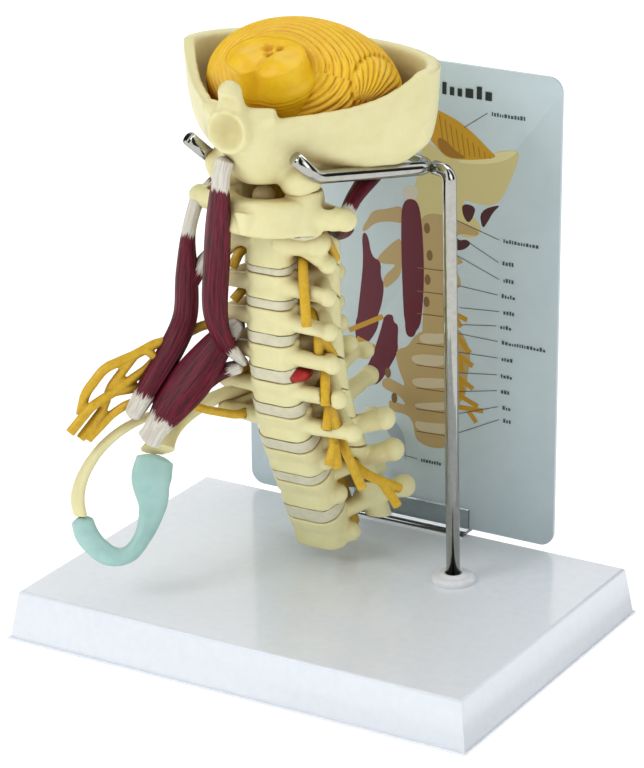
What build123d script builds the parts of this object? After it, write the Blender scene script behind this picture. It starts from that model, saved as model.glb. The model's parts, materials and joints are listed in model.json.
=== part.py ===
from build123d import *
import os
from math import atan2, cos, degrees, radians, sin, tan

# Neck anatomy model on a display base, in mm. X runs along the long side of the base,
# the model faces -Y, +Z is up and the floor under the base is at zero.

# base tray
base_length = 228.6
base_width = 160.0
base_height = 23.6
base_flare = 3.4
base_wall = 2.8
base_top_radius = 1.6
lip_height = 1.5
lip_reach = 0.8
boss_radius = 11.0
boss_drop = 15.0

# stand: one plain rod rising from the base, and one bent into a fork under the skull
rod_diameter = 6.35
rod_clearance = 0.3
post_foot = Vector(51.7, 28.8, base_height)
fork_corner = Vector(39.5, 30.5, 218.5)
post_bend = Vector(48.5, 27.5, 218.5)
post_bend_radius = 7.5
collar_diameter = 20.5
collar_height = 4.0
collar_step = 1.4
nut_width = 11.0
nut_height = 5.0
washer_diameter = 14.0
washer_height = 1.2
fork_width = 53.0
fork_reach = 66.0
fork_rise = 8.5
fork_turn = 21.0
fork_far_extra = 17.0
fork_bend_radius = 10.0
fork_tip = 15.5
fork_tip_angle = 42.0

# key card and its clear holder
card_width = 165.0
card_height = 226.0
card_thickness = 1.6
card_corner = 7.0
card_centre_x = -6.5
card_gap = 0.2
holder_left = -30.0
holder_right = 32.0
holder_wall = 1.6
holder_lip = 10.0
holder_shelf = 6.5
holder_tongue = 5.0

# the anatomy stands in the plane of symmetry at this place along X
mid_x = -13.0

# skull base: plan outline of the rim, given for one half, from the front round to the back
skull_rim_z = 268.5
skull_floor_z = 228.0
skull_under_z = 221.0
skull_wall = 6.0
skull_floor = 7.0
skull_half_width = 63.0
skull_front = -61.0
skull_back = 48.0
skull_corner_y = 5.0
skull_under_scale = 0.74
skull_floor_scale = 0.78
front_rim_z = 254.5
foramen_centre_y = -14.0
foramen_half_width = 15.0
foramen_half_length = 17.0
dish_centre = (-57.0, 249.5)
dish_radius = 10.5
dorsum_top_z = 266.5
condyle_x = 17.5
condyle_y = -26.0

# brain: cerebellum and brain stem in one moulding
brain_centre = (0.0, 7.0, 254.0)
brain_half_width = 47.5
brain_half_depth = 30.0
brain_half_height = 30.5
folia_count = 24
folia_first = 24.0
folia_last = 162.0
folia_depth = 1.5
pole_lean = 57.0
stem_top = (0.0, -25.0, 275.0)
stem_lean = 28.0
# drop along the lean, shift back, half width, half depth and tilt of each section of the stem
stem_sections = [(0.0, 0.0, 19.0, 13.5, 28.0), (15.0, 1.0, 20.0, 15.5, 26.0),
                 (34.0, -4.0, 13.0, 10.0, 14.0), (48.0, -8.0, 8.0, 7.0, 8.0)]

# column: body width, body depth, pitch to the level above, disc height, lean, spine length, wing reach
column_top = (-21.5, 182.0)
levels = [
    ("vertebra_c3", 23.0, 15.5, 16.0, 4.6, 0.0, 21.0, 27.0),
    ("vertebra_c4", 23.5, 15.5, 16.3, 4.4, 2.0, 20.0, 27.5),
    ("vertebra_c5", 24.0, 16.0, 16.5, 4.6, 8.0, 21.0, 28.0),
    ("vertebra_c6", 25.0, 16.5, 18.0, 5.8, 12.5, 26.0, 29.0),
    ("vertebra_c7", 27.0, 17.0, 19.0, 5.4, 19.0, 37.0, 33.0),
    ("vertebra_t1", 28.5, 17.5, 21.0, 5.8, 26.5, 38.0, 36.0),
    ("vertebra_t2", 28.5, 18.5, 23.0, 5.4, 27.5, 30.0, 35.0),
    ("vertebra_t3", 28.5, 20.0, 26.0, 7.4, 27.0, 21.0, 34.0),
]
waist_slope = 11.0
plate_height = 1.6
body_roundness = 0.42
lamina_height = 12.0
lamina_thickness = 5.0
thoracic_drop = 15.0
cervical_drop = 6.0
fork_knob_x = 5.0
fork_knob_radius = 4.4
disc_bulge = 0.98
disc_edge = 1.3
knob_swell = 1.12
canal_half_width = 11.5
canal_half_depth = 8.0
canal_setback = 8.6
cord_radius = 5.2
cord_bend = 30.0
cord_tail = 13.0
pillar_x = 18.0
pillar_radius = 6.2
facet_gap = 1.4
facet_slope = 38.0
artery_radius = 2.8
nerve_radius = 2.3
nerve_bend = 14.0
nerve_taper = 0.03
bend_share = 0.42

herniated_level = 3

# first vertebra
atlas_centre = (0.0, -23.0, 207.0)
atlas_half_height = 8.5
atlas_half_width = 37.0
atlas_ring_width = 50.0
atlas_front = 21.5


def placed(shape):
    return Pos(mid_x, 0, 0) * shape


def blob(centre, radii, turn=(0, 0, 0)):
    return Location(centre, turn) * scale(Sphere(1), by=radii)


def strand(points, widths, depths, side=(1, 0, 0)):
    """Loft of ellipses square to the line through the points."""
    path = [Vector(p) for p in points]
    sections = []
    for i, point in enumerate(path):
        ahead = path[min(i + 1, len(path) - 1)]
        behind = path[max(i - 1, 0)]
        plane = Plane(origin=point, x_dir=Vector(side), z_dir=(ahead - behind).normalized())
        sections.append(plane * Ellipse(widths[i] / 2, depths[i] / 2))
    return loft(sections)


def bend_radii(points, largest_bend):
    """The radius at each corner, held by the shorter run beside it."""
    path = [Vector(p) for p in points]
    radii = []
    for before, corner, after in zip(path, path[1:], path[2:]):
        turn = radians((corner - before).get_angle(after - corner))
        shorter = min((corner - before).length, (after - corner).length)
        radii.append(min(largest_bend, bend_share * shorter / tan(turn / 2)))
    return radii


def tube(points, radius, largest_bend):
    """Round rod along straight runs joined by tangent arcs."""
    if len(points) > 2:
        path = FilletPolyline(*points, radius=bend_radii(points, largest_bend))
    else:
        path = Polyline(*points)
    return sweep(Plane(origin=path @ 0, z_dir=path % 0) * Circle(radius), path=path)


def joined(pieces):
    return Part() + list(pieces)


def bar(start, end, start_radius, end_radius):
    """Tapering round bar between two points."""
    a, b = Vector(start), Vector(end)
    plane = Plane(origin=(a + b) * 0.5, z_dir=(b - a).normalized())
    return plane * Cone(start_radius, end_radius, (b - a).length)


def knob(centre, radius, along=(0, 0, 1)):
    """Ball whose poles lie on the given line, so that a bar along that line covers one of them."""
    return Plane(origin=centre, z_dir=Vector(along).normalized()) * Sphere(radius)


def limb(points, radii):
    """Bars end to end with a larger knob at every point but the first, which is buried."""
    pieces = []
    for i in range(1, len(points)):
        pieces.append(bar(points[i - 1], points[i], radii[i - 1], radii[i]))
        pieces.append(knob(points[i], radii[i] * knob_swell, Vector(points[i]) - Vector(points[i - 1])))
    return pieces


def both_sides(make):
    """What the function makes for the left and for the right."""
    return list(make(1)) + list(make(-1))


def largest(shape):
    """The biggest solid, turned right side out where cutting left it inside out."""
    solid = max(shape.solids(), key=lambda piece: abs(piece.volume))
    return solid if solid.volume > 0 else Solid(solid.shells()[0])


# stand and base
def post_axis():
    return (post_bend - post_foot).normalized()


def base_tray():
    outer = extrude(Rectangle(base_length + 2 * base_flare, base_width + 2 * base_flare),
                    base_height, taper=degrees(atan2(base_flare, base_height)))
    outer = fillet(outer.faces().sort_by(Axis.Z)[-1].edges(), base_top_radius)
    inner = extrude(Rectangle(base_length + 2 * base_flare - 2 * base_wall,
                              base_width + 2 * base_flare - 2 * base_wall),
                    base_height - base_wall, taper=degrees(atan2(base_flare, base_height)))
    lip = extrude(Rectangle(base_length + 2 * (base_flare + lip_reach),
                            base_width + 2 * (base_flare + lip_reach)), lip_height)
    tray = (outer + lip) - inner
    boss = Pos(post_foot.X, post_foot.Y, base_height - boss_drop / 2 - 0.5) * Cylinder(boss_radius, boss_drop)
    pocket = (Pos(post_foot.X, post_foot.Y, base_height - boss_drop - 0.5 + nut_height / 2)
              * Cylinder(washer_diameter / 2 + rod_clearance, nut_height + 2 * washer_height))
    return tray + boss - pocket - post_hole(rod_clearance)


def post_hole(clearance):
    start = post_foot - post_axis() * (base_height - 1)
    plane = Plane(origin=start, z_dir=post_axis())
    length = base_height + collar_height + 2
    return plane * Pos(0, 0, length / 2) * Cylinder(rod_diameter / 2 + clearance, length)


def pocket_top_z():
    return base_height - boss_drop - 0.5 + nut_height + washer_height


def post_washer():
    ring = Pos(post_foot.X, post_foot.Y, pocket_top_z() - washer_height / 2) * Cylinder(
        washer_diameter / 2, washer_height)
    return ring - post_hole(rod_clearance)


def post_nut():
    block = extrude(RegularPolygon(nut_width / 2, 6, major_radius=False), nut_height - 0.5)
    block = Pos(post_foot.X, post_foot.Y, pocket_top_z() - washer_height - nut_height + 0.5) * block
    return block - post_hole(0)


def post_collar():
    r = collar_diameter / 2
    hole = rod_diameter / 2 + 2 * rod_clearance
    profile = Polyline((hole, 0), (r, 0), (r, collar_height * 0.45), (r - collar_step, collar_height * 0.8),
                       (hole + 2 * collar_step, collar_height * 0.8),
                       (hole + collar_step, collar_height), (hole, collar_height), close=True)
    ring = revolve(Plane.XZ * make_face(profile), Axis.Z)
    return Pos(post_foot.X, post_foot.Y, base_height) * ring


def stand_post():
    foot = post_foot - post_axis() * (base_height - pocket_top_z() + washer_height + nut_height - 1)
    post = tube([foot, post_bend, fork_corner], rod_diameter / 2, post_bend_radius)
    return post


def fork_points():
    turn = radians(fork_turn)
    forward = Vector(-sin(turn), -cos(turn), 0)
    across = Vector(-cos(turn), sin(turn), 0)
    near_bend = fork_corner + forward * fork_reach + Vector(0, 0, fork_rise)
    far_corner = fork_corner + across * fork_width
    far_bend = far_corner + forward * (fork_reach + fork_far_extra) + Vector(0, 0, fork_rise)
    rise = radians(fork_tip_angle)
    lift = Vector(forward.X * cos(rise), forward.Y * cos(rise), sin(rise)) * fork_tip
    return [near_bend + lift, near_bend, fork_corner, far_corner, far_bend, far_bend + lift]


def cradle_fork():
    return tube(fork_points(), rod_diameter / 2, fork_bend_radius)


# card
def card_plane_y():
    return base_width / 2 + holder_wall + card_gap


def key_card():
    sheet = Pos(card_centre_x, 0, 0) * Plane.XZ * RectangleRounded(card_width, card_height, card_corner)
    sheet = extrude(sheet, -card_thickness)
    return Pos(0, card_plane_y(), base_height + holder_wall + card_height / 2) * sheet


def card_holder():
    y0 = base_width / 2
    card_back = card_plane_y() + card_thickness + card_gap
    top = base_height + holder_wall
    outline = Polyline(
        (y0 - holder_tongue, base_height), (y0, base_height), (y0 + holder_shelf, base_height),
        (y0 + holder_shelf, top), (card_back + holder_wall, top), (card_back + holder_wall, top + holder_lip),
        (card_back, top + holder_lip), (card_back, top), (y0 + holder_wall, top),
        (y0 + holder_wall, top + holder_lip), (y0, top + holder_lip), (y0, top),
        (y0 - holder_tongue, top), close=True)
    strip = extrude(Plane.YZ * make_face(outline), holder_right - holder_left)
    return Pos(holder_left, 0, 0) * strip


# skull base
def skull_outline(z, size, shift=0.0):
    """Closed plan outline: narrow front, straight front walls, sharp side corners, round back."""
    w = skull_half_width * size
    front = skull_front * size + shift
    back = skull_back * size + shift
    corner = skull_corner_y * size + shift
    half = [(0.15 * w, front * 0.95), (0.31 * w, front * 0.73), (0.68 * w, front * 0.30),
            (0.93 * w, corner * 0.2), (w, corner + 3), (0.93 * w, back * 0.52), (0.56 * w, back * 0.88)]
    points = [(0, front)] + half + [(0, back)] + [(-x, y) for x, y in reversed(half)]
    return Plane.XY.offset(z) * make_face(Spline(*points, periodic=True))


def skull_bowl():
    outer = loft([skull_outline(skull_under_z, skull_under_scale * 0.86),
                  skull_outline(skull_floor_z, skull_under_scale),
                  skull_outline(246, 0.9),
                  skull_outline(skull_rim_z, 1.0)])
    wall = 1 - skull_wall / skull_half_width
    inner = loft([skull_outline(skull_under_z + skull_floor, skull_under_scale * wall * 0.8),
                  skull_outline(skull_floor_z + skull_floor, skull_floor_scale * wall),
                  skull_outline(250, 0.91 * wall),
                  skull_outline(skull_rim_z + 2, 1.0 * wall)])
    return outer - inner


def front_rim_cut():
    """The front walls stand lower than the side corners, with an easy slope between."""
    top = skull_rim_z + 15
    slope = Spline((skull_corner_y + 2, skull_rim_z + 1), (-2, front_rim_z + 7), (-16, front_rim_z + 1.5),
                   (-70, front_rim_z - 2))
    outline = make_face(slope + Polyline((-70, front_rim_z - 2), (-70, top), (skull_corner_y + 2, top),
                                         (skull_corner_y + 2, skull_rim_z + 1)))
    return extrude(Plane.YZ * outline, skull_half_width + 10, both=True)


def skull_base():
    """Bowl with the dish block in front, the post of the saddle, the slope inside and two condyles."""
    bowl = skull_bowl() - front_rim_cut()
    y, z = dish_centre
    rim = Pos(0, y + 3, z) * Rot(90, 0, 0) * Cylinder(dish_radius, 9)
    rim = fillet(rim.edges(), 2.5)
    slope = bar((0, y + 8, z + 1), (0, -30, skull_floor_z + 4), 9.5, 13.0)
    dorsum = [bar((0, y + 3.5, z + 2), (0, y + 3, dorsum_top_z), 8.6, 5.0),
              knob((0, y + 3, dorsum_top_z - 0.6), 5.4)]
    wings = [bar((s * 3, y + 7, z + 4), (s * 17, y + 13, front_rim_z + 1), 5.2, 3.6) for s in (1, -1)]
    condyles = [knob((s * condyle_x, condyle_y, 223), 9.4) for s in (1, -1)]
    base = joined([bowl, rim, slope] + dorsum + wings + condyles)
    foramen = extrude(Ellipse(foramen_half_width, foramen_half_length), 20, both=True)
    foramen = Pos(0, foramen_centre_y, skull_under_z) * foramen
    dish = Pos(0, y - 7.2, z) * Sphere(dish_radius - 0.5)
    saddle = Pos(0, y - 1.5, z + 11.5) * Rot(0, 90, 0) * Cylinder(3.4, 40)
    return base - foramen - dish - saddle


# brain
def brain_stem():
    """Loft down from the cut face, thick at the bridge and thin where it meets the cord."""
    lean = radians(stem_lean)
    sections = []
    for drop, shift, half_width, half_depth, tilt in stem_sections:
        y = stem_top[1] + drop * sin(lean) + shift
        z = stem_top[2] - drop * cos(lean)
        plane = Plane(origin=(0, y, z), x_dir=(1, 0, 0), z_dir=(0, -sin(radians(tilt)), cos(radians(tilt))))
        sections.append(plane * Ellipse(half_width, half_depth))
    return loft(sections)


def fold_ring(angle, sunk):
    """Ellipse round the ball's pole at an angle from it, sunk below the crests."""
    a = radians(angle)
    ring = Ellipse((brain_half_width - sunk) * sin(a), (brain_half_height - sunk) * sin(a))
    return Pos(0, 0, (brain_half_depth - sunk) * cos(a)) * ring


def furrowed_ball():
    """Stack of rings with a furrow between each two folds; its pole, turned forward, meets the stem."""
    step = (folia_last - folia_first) / folia_count
    rings = []
    for i in range(folia_count):
        start = folia_first + i * step
        rings += [fold_ring(start, folia_depth), fold_ring(start + 0.25 * step, folia_depth * 0.15),
                  fold_ring(start + 0.5 * step, 0), fold_ring(start + 0.75 * step, folia_depth * 0.15)]
    rings.append(fold_ring(folia_last, folia_depth))
    return Pos(*brain_centre) * Rot(pole_lean, 0, 0) * loft(rings, ruled=True)


def cerebellum():
    """Furrowed ball on a flat seat, with room for the stem."""
    side = 3 * brain_half_width
    seat = Pos(0, 0, skull_under_z + skull_floor - side / 2) * Box(side, side, side)
    return [piece - seat for piece in (furrowed_ball() - brain_stem(), brain_stem())]


# column
def level_frames():
    """Lower end plate centre of each level, going down, with the lean of its axis."""
    frames = []
    y, z = column_top
    for name, width, depth, pitch, disc, lean, spine, wing in levels:
        t = radians(lean)
        down = (sin(t), -cos(t))
        top = (y + down[0] * disc, z + down[1] * disc)
        y, z = y + down[0] * pitch, z + down[1] * pitch
        centre = ((top[0] + y) / 2, (top[1] + z) / 2)
        frames.append((centre, lean, pitch - disc))
    return frames


def cord_points():
    points = [(0, foramen_centre_y + 2, 231), (0, -12, 214), (0, -8, 195)]
    for (centre, lean, height), level in zip(level_frames(), levels):
        t = radians(lean)
        back = level[2] / 2 + canal_setback
        points.append((0, centre[0] + back * cos(t), centre[1] + back * sin(t)))
    (centre, lean, height) = level_frames()[-1]
    t = radians(lean)
    last = points[-1]
    reach = height / 2 + cord_tail
    points.append((0, last[1] + reach * sin(t), last[2] - reach * cos(t)))
    return points


def spinal_cord():
    return tube(cord_points(), cord_radius, cord_bend)


def rounded_block(width, depth):
    return RectangleRounded(width, depth, depth * body_roundness)


def vertebral_body(width, depth, height):
    """Flat end plates with a narrower waist between them."""
    half = height / 2 - plate_height
    outline = rounded_block(width, depth)
    lower = Pos(0, 0, -half) * extrude(outline, half, taper=waist_slope)
    plate = Pos(0, 0, half) * extrude(outline, plate_height)
    upper = mirror(lower, Plane.XY)
    return [lower, upper, plate, mirror(plate, Plane.XY)]


def pillar(side, height, y):
    """Joint pillar: a round post with sloped ends that shingle on its neighbours."""
    rise = tan(radians(facet_slope)) * pillar_radius
    h = (height - facet_gap) / 2
    outline = Polyline((y - pillar_radius, -h + rise), (y - pillar_radius, h + rise),
                       (y + pillar_radius, h - rise), (y + pillar_radius, -h - rise), close=True)
    block = extrude(Plane.YZ * make_face(outline), pillar_radius, both=True)
    post = Pos(0, y, 0) * Cylinder(pillar_radius - 0.2, 3 * height)
    return [Pos(side * pillar_x, 0, 0) * (block & post)]


def arch(back, height):
    """Plate round the back of the canal, seen in plan as half a hexagon."""
    outer = canal_half_width + lamina_thickness
    reach = back + canal_half_depth
    outline = Polyline((-outer, back - canal_half_depth * 0.5), (-outer, back + 1),
                       (-outer * 0.3, reach + lamina_thickness), (outer * 0.3, reach + lamina_thickness),
                       (outer, back + 1), (outer, back - canal_half_depth * 0.5), close=True)
    return extrude(make_face(outline), height / 2, both=True)


def canal(back, height):
    opening = RectangleRounded(2 * canal_half_width, 2 * canal_half_depth, canal_half_depth * 0.9)
    return Pos(0, back, 0) * extrude(opening, height, both=True)


def cervical_wings(width, back, wing):
    """Two bars each side that meet at a knob, with the artery's way between them."""
    def bars(s):
        tip = (s * wing, 2, -3)
        return [bar((s * width * 0.36, -2, 0), tip, 4.2, 3.4),
                bar((s * pillar_x, back - 4, 0), tip, 3.6, 3.1),
                knob(tip, 4.4, (s, 0, 0))]
    return both_sides(bars)


def thoracic_wings(width, back, height, wing):
    """Stout bars back from the pillars, and the seats of the rib heads on the body."""
    def bars(s):
        tip = (s * (wing - 2), back + 8, 4)
        return [bar((s * pillar_x, back, 2), tip, 4.6, 4.9), knob(tip, 5.6, (s, 0, 0)),
                knob((s * (width / 2 - 1), 2, 3 - height / 2), 5, (s, 0, 0))]
    return both_sides(bars)


def spine_bar(back, spine, drop, forked):
    """Bar at the back in the middle, with two knobs at its end on the shorter ones."""
    root = back + canal_half_depth + lamina_thickness - 2
    end = (0, root + spine, -2 - drop)
    pieces = [bar((0, root, -2), end, 5.4, 3.8)]
    if forked:
        return pieces + both_sides(lambda s: [knob((s * fork_knob_x, end[1] - 1, end[2]), fork_knob_radius,
                                                   (s, 0, 0))])
    return pieces + [knob(end, 5.0, (0, 1, 0))]


def vertebra(index):
    name, width, depth, pitch, disc, lean, spine, wing = levels[index]
    centre, lean, height = level_frames()[index]
    thoracic = name.startswith("vertebra_t")
    back = depth / 2 + canal_setback
    pieces = vertebral_body(width, depth, height) + [arch(back, lamina_height)]
    pieces += both_sides(lambda s: pillar(s, pitch, back + 1))
    pieces += [bar((s * width * 0.3, depth * 0.3, 2), (s * pillar_x, back - 1, 1), 4.2, 4.0) for s in (1, -1)]
    pieces += spine_bar(back, spine, thoracic_drop if thoracic else cervical_drop, not thoracic)
    if thoracic:
        pieces += thoracic_wings(width, back, height, wing)
    else:
        pieces += cervical_wings(width, back, wing)
        pieces += both_sides(lambda s: [knob((s * (width / 2 - 2.4), 1, height / 2 - 0.6), 3.1)])
    bone = joined(pieces) - canal(back, pitch)
    return Pos(0, centre[0], centre[1]) * Rot(lean, 0, 0) * bone


def vertebra_c1():
    """Tall ring with a thick front, a stout mass each side and long wings."""
    x, y, z = atlas_centre
    ring = Ellipse(atlas_ring_width / 2, atlas_front) - Ellipse(12.5, 14)
    ring = extrude(ring, atlas_half_height, both=True)
    ring = fillet(ring.edges(), 3)
    beak = bar((0, y - atlas_front + 3, z + 3), (0, y - atlas_front + 1.5, z - 7.5), 6.2, 2.6)
    pieces = [Pos(0, y, z) * ring, beak, knob((0, y + atlas_front, z), 5.5, (0, 1, 0))]
    pieces += [bar((s * 18, y - 2, z - 8), (s * 18.5, y - 1, z + 11.5), 9.6, 8.2) for s in (1, -1)]
    pieces += both_sides(lambda s: [bar((s * 18, y, z - 1), (s * atlas_half_width, y + 2, z - 1), 8.4, 4.6),
                                    knob((s * atlas_half_width, y + 2, z - 1), 5.2, (s, 0, 0))])
    way = Pos(0, y + 3, z) * extrude(RectangleRounded(24, 27, 11), 20, both=True)
    holes = [Pos(s * 29, y + 1, z) * Cylinder(artery_radius, 30) for s in (1, -1)]
    return joined(pieces) - way - holes


def vertebra_c2():
    """Body that narrows upwards to a peg, with sloping shoulders, small wings and a forked spine."""
    y, z = column_top
    back = 17.0
    body = Pos(0, y, z) * Rot(9, 0, 0) * extrude(rounded_block(23, 16), 21, taper=9)
    peg = limb([(0, y - 5, z + 16), (0, y - 6, z + 31)], [5.4, 4.6])
    pieces = [body, Pos(0, y, z + 4) * arch(back, 13)] + peg
    pieces += both_sides(lambda s: [bar((s * 4, y - 1, z + 11), (s * 21, y + 2, z + 11), 7.6, 6.2),
                                    knob((s * 21, y + 2, z + 11), 7.0, (s, 0, 0))])
    pieces += both_sides(lambda s: [bar((s * 17, y + 2, z + 8), (s * 26, y + 4, z + 1), 4.8, 3.6),
                                    knob((s * 26, y + 4, z + 1), 4.3, (s, 0, 0))])
    pieces += [Pos(0, y, z + 3) * post for post in both_sides(lambda s: pillar(s, 13, back))]
    pieces += [bar((s * pillar_x, y + 4, z + 9), (s * pillar_x, y + back, z + 5), 4.6, 4.9) for s in (1, -1)]
    pieces += [Pos(0, y, z + 5) * piece for piece in spine_bar(back, 15, 3, True)]
    return joined(pieces) - Pos(0, y, z) * canal(back, 30)


def disc(index):
    """Soft cushion on the upper plate of one level, reaching into the body above, which trims it."""
    name, width, depth, pitch, height, lean, spine, wing = levels[index]
    centre, lean, body_height = level_frames()[index]
    cushion = extrude(rounded_block(width * disc_bulge, depth * disc_bulge), height + 1.5)
    cushion = fillet(cushion.edges().group_by(Axis.Z)[0], disc_edge)
    return Pos(0, centre[0], centre[1]) * Rot(lean, 0, 0) * Pos(0, 0, body_height / 2) * cushion


def joint_pad(side):
    return blob((side * 18, atlas_centre[1] - 1, 199.5), (8.5, 9.5, 4))


def disc_herniation():
    """The burst part of one disc, pressed out towards the left nerve roots."""
    centre, lean, height = level_frames()[herniated_level]
    lens = blob((8.5, 1.5, height / 2 + 2.4), (8.5, 7.5, 4.6))
    return Pos(0, centre[0], centre[1]) * Rot(lean, 0, 0) * lens


# nerves
left_roots = {
    "nerve_left_c2": [[(11, -8, 200), (22, -17, 199), (24, -7, 182)], [(22, -17, 197), (22, -19, 188)]],
    "nerve_left_c3": [[(11, -12, 186), (16, -22, 184), (20, -27, 168), (22, -29, 157)]],
    "nerve_left_c4": [[(11, -10, 160), (19, -17, 154), (25, -11, 138)], [(20, -16, 151), (21, -17, 134)]],
    "nerve_left_c5": [[(12, -6, 144), (21, -12, 136), (25, -18, 117)]],
    "nerve_left_c6": [[(12, -3, 127), (21, -10, 119), (26, -10, 104)], [(22, -10, 116), (23, -14, 104)]],
    "nerve_left_c7": [[(12, 2, 109), (21, -7, 104), (27, -11, 85)], [(24, -9, 96), (24, -14, 87)]],
    "nerve_left_t1": [[(12, 10, 98), (23, -1, 94), (31, 4, 71)]],
    "nerve_left_t2": [[(12, 20, 80), (27, 11, 75), (39, 25, 65)], [(33, 18, 70), (40, 21, 58)]],
}
right_roots = {
    "nerve_right_c3": [[(-11, -12, 186), (-17, -20, 184), (-19, -24, 176)]],
    "nerve_right_c4": [[(-11, -10, 168), (-17, -18, 165), (-20, -22, 160)]],
}
plexus = [
    [(-11, -8, 154), (-22, -16, 148), (-37, -20, 145), (-47, -28, 139), (-53, -36, 138), (-59, -43, 134),
     (-69, -53, 129), (-75, -60, 118), (-77, -61, 108)],
    [(-47, -28, 139), (-55, -40, 127), (-65, -52, 118), (-71, -61, 113), (-77, -70, 102)],
    [(-59, -43, 134), (-67, -51, 120), (-69, -55, 110), (-75, -65, 98)],
    [(-33, -28, 124), (-45, -39, 122), (-55, -41, 119), (-65, -52, 118)],
    [(-12, 2, 106), (-22, -16, 103), (-33, -26, 107), (-45, -41, 116), (-59, -50, 113), (-65, -54, 108),
     (-73, -62, 97)],
    [(-55, -40, 136), (-46, -35, 127)],
    [(-12, -3, 128), (-22, -20, 125), (-33, -28, 124)],
]


def nerve(runs, radius):
    return joined([tube(run, radius * (1 - nerve_taper * i), nerve_bend) for i, run in enumerate(runs)])


# muscles: points, widths and depths of each head, from its upper tendon to its lower one
muscles = {
    "muscle_strap": [([(-5, -50, 236), (-7, -51, 226), (-13, -44, 205), (-18, -38, 185), (-20, -37, 160),
                       (-18, -33, 145), (-13, -23, 131)],
                      [9, 8.5, 12, 13, 12.5, 9, 4], [7, 6.5, 8, 9, 9, 7, 4])],
    "muscle_scalene_middle": [([(-37, -23, 206), (-39, -28, 190), (-41, -27, 170), (-43, -26, 150),
                                (-46, -33, 136), (-50, -45, 122), (-55, -54, 108)],
                               [7, 7, 11, 12, 13, 12, 9], [6, 6, 9, 10, 9, 8, 5]),
                              ([(-26, -18, 184), (-33, -23, 178), (-40, -27, 165)], [5, 7, 8], [5, 6, 7])],
    "muscle_scalene_front": [([(-15, -22, 152), (-24, -28, 141), (-32, -38, 126), (-38, -46, 115),
                               (-43, -53, 104), (-46, -55, 98)],
                              [6, 15, 22, 19, 12, 13], [6, 10, 11, 10, 7, 6]),
                             ([(-14, -24, 131), (-23, -31, 128), (-31, -38, 122)], [7, 9, 12], [6, 7, 8])],
    "muscle_upper_left": [([(36, -19, 207), (34, -8, 212), (34, 8, 219), (36, 20, 227)],
                           [7, 8, 11, 12], [6, 6, 7, 6])],
    "muscle_upper_right": [([(-36, -19, 207), (-34, -8, 212), (-34, 8, 219), (-36, 20, 227)],
                            [7, 8, 11, 12], [6, 6, 7, 6])],
    "muscle_lower_left": [([(35, -17, 204), (26, -4, 196), (14, 10, 188), (6, 17, 183)],
                           [6, 10, 10, 6], [5, 7, 7, 5])],
    "muscle_lower_right": [([(-35, -17, 204), (-26, -4, 196), (-14, 10, 188), (-6, 17, 183)],
                            [6, 10, 10, 6], [5, 7, 7, 5])],
}


def muscle(heads):
    return joined([strand(points, widths, depths) for points, widths, depths in heads])


# ribs and their cartilage on the right side
def first_rib():
    return strand([(-24, 4, 112), (-37, -10, 107), (-47, -17, 100), (-51, -28, 94), (-49, -42, 90)],
                  [6, 6, 8, 12, 18], [8, 7, 6, 5, 6], (1, -0.5, 0))


def second_rib():
    return strand([(-47, -22, 106), (-57, -40, 103), (-65, -54, 97), (-71, -63, 87), (-73, -70, 76),
                   (-71, -72, 64)],
                  [6, 5, 6, 7, 9, 9], [6, 4, 4, 4, 4.5, 5], (1, -0.5, 0))


def costal_cartilage():
    """Broad under the rib's end, then bent up to the thin rib in the plane square to its side."""
    return strand([(-49, -42, 90), (-48, -49, 78), (-47, -50, 66), (-48, -56, 54), (-52, -63, 46),
                   (-60, -68, 46), (-68, -71, 54), (-71, -72, 64)],
                  [6, 6, 6, 7, 7, 6, 5, 5], [18, 18, 12, 8, 8, 10, 10, 9], (0.53, -0.85, 0))


def write(name, shape):
    export_step(shape, os.path.join("parts", name + ".step"))


def column_bones(cord, roots):
    """All vertebrae, each clear of the cord, the nerves and the one above."""
    bones = {"vertebra_c1": vertebra_c1(), "vertebra_c2": vertebra_c2()}
    for i, level in enumerate(levels):
        bones[level[0]] = vertebra(i)
    names = list(bones)
    for name in names:
        bones[name] = carved(bones[name], [cord] + roots)
    for upper, lower in zip(names, names[1:]):
        bones[lower] = carved(bones[lower], [bones[upper]])
    return bones


def near(shape, others):
    """Those of the others whose boxes meet the box of the shape."""
    box = shape.bounding_box()
    found = []
    for other in others:
        b = other.bounding_box()
        apart = (b.min.X > box.max.X or b.max.X < box.min.X or b.min.Y > box.max.Y or b.max.Y < box.min.Y
                 or b.min.Z > box.max.Z or b.max.Z < box.min.Z)
        if not apart:
            found.append(other)
    return found


def carved(shape, others):
    """The shape without what its neighbours fill."""
    cutters = near(shape, others)
    return largest(shape - cutters) if cutters else shape


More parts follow.
